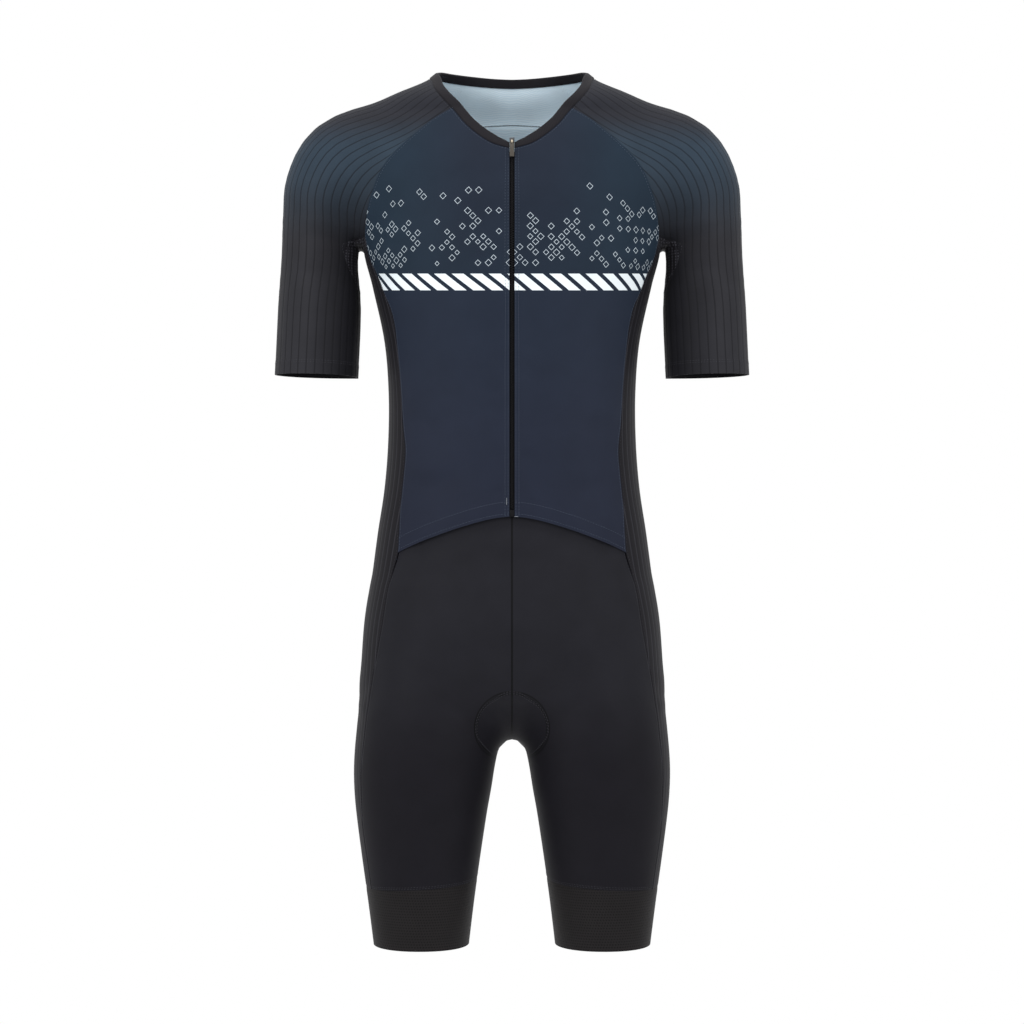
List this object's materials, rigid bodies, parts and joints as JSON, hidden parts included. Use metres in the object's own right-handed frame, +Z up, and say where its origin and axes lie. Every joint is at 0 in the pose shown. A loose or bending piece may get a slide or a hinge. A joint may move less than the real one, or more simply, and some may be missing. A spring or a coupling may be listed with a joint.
{
  "type": "triathlon suit",
  "caption": "One-piece short-sleeved triathlon suit, filled out and hollow, with raglan sleeves, front zip, ribbed sides and mid-thigh leg grippers.",
  "frame": {"origin": "middle of the neck opening at shoulder height, where the suit hangs from the wearer's shoulders", "axes": "+Z up towards the neck, -Y out of the front, +X towards the wearer's left sleeve"},
  "size_m": [0.515, 0.2349, 0.9518],
  "materials": {
    "front_lycra": "smooth dark navy knit with a faint sheen",
    "side_lycra": "fine ribbed knit",
    "sleeve_lycra": "ribbed knit with a satin sheen",
    "shorts_lycra": "dense matt knit",
    "gripper_mesh": "elastic mesh with dots",
    "binding_knit": "folded matt knit",
    "zip_tape": "woven tape",
    "zip_teeth": "moulded",
    "zip_metal": "dark enamel",
    "pad_cloth": "brushed knit over foam"
  },
  "bodies": {
    "suit": {"front_left": "front_lycra", "front_right": "front_lycra", "back_panel": "front_lycra", "back_yoke": "front_lycra", "side_left": "side_lycra", "side_right": "side_lycra", "sleeve_left": "sleeve_lycra", "sleeve_right": "sleeve_lycra", "shorts_front_left": "shorts_lycra", "shorts_front_right": "shorts_lycra", "shorts_back_left": "shorts_lycra", "shorts_back_right": "shorts_lycra", "gripper_left": "gripper_mesh", "gripper_right": "gripper_mesh", "neck_binding": "binding_knit", "zip_tape_left": "zip_tape", "zip_tape_right": "zip_tape", "zip_chain": "zip_teeth", "zip_box": "zip_teeth", "zip_slider": "zip_metal", "seat_pad": "pad_cloth"},
    "zip_pull": {"zip_pull": "zip_metal"}
  },
  "joints": [
    {"name": "zip_pull_hinge", "type": "hinge", "parent": "suit", "child": "zip_pull", "pos_m": [0, -0.09006, -0.08508], "axis": [-1, 0, 0], "range_deg": [0, 165]}
  ]
}
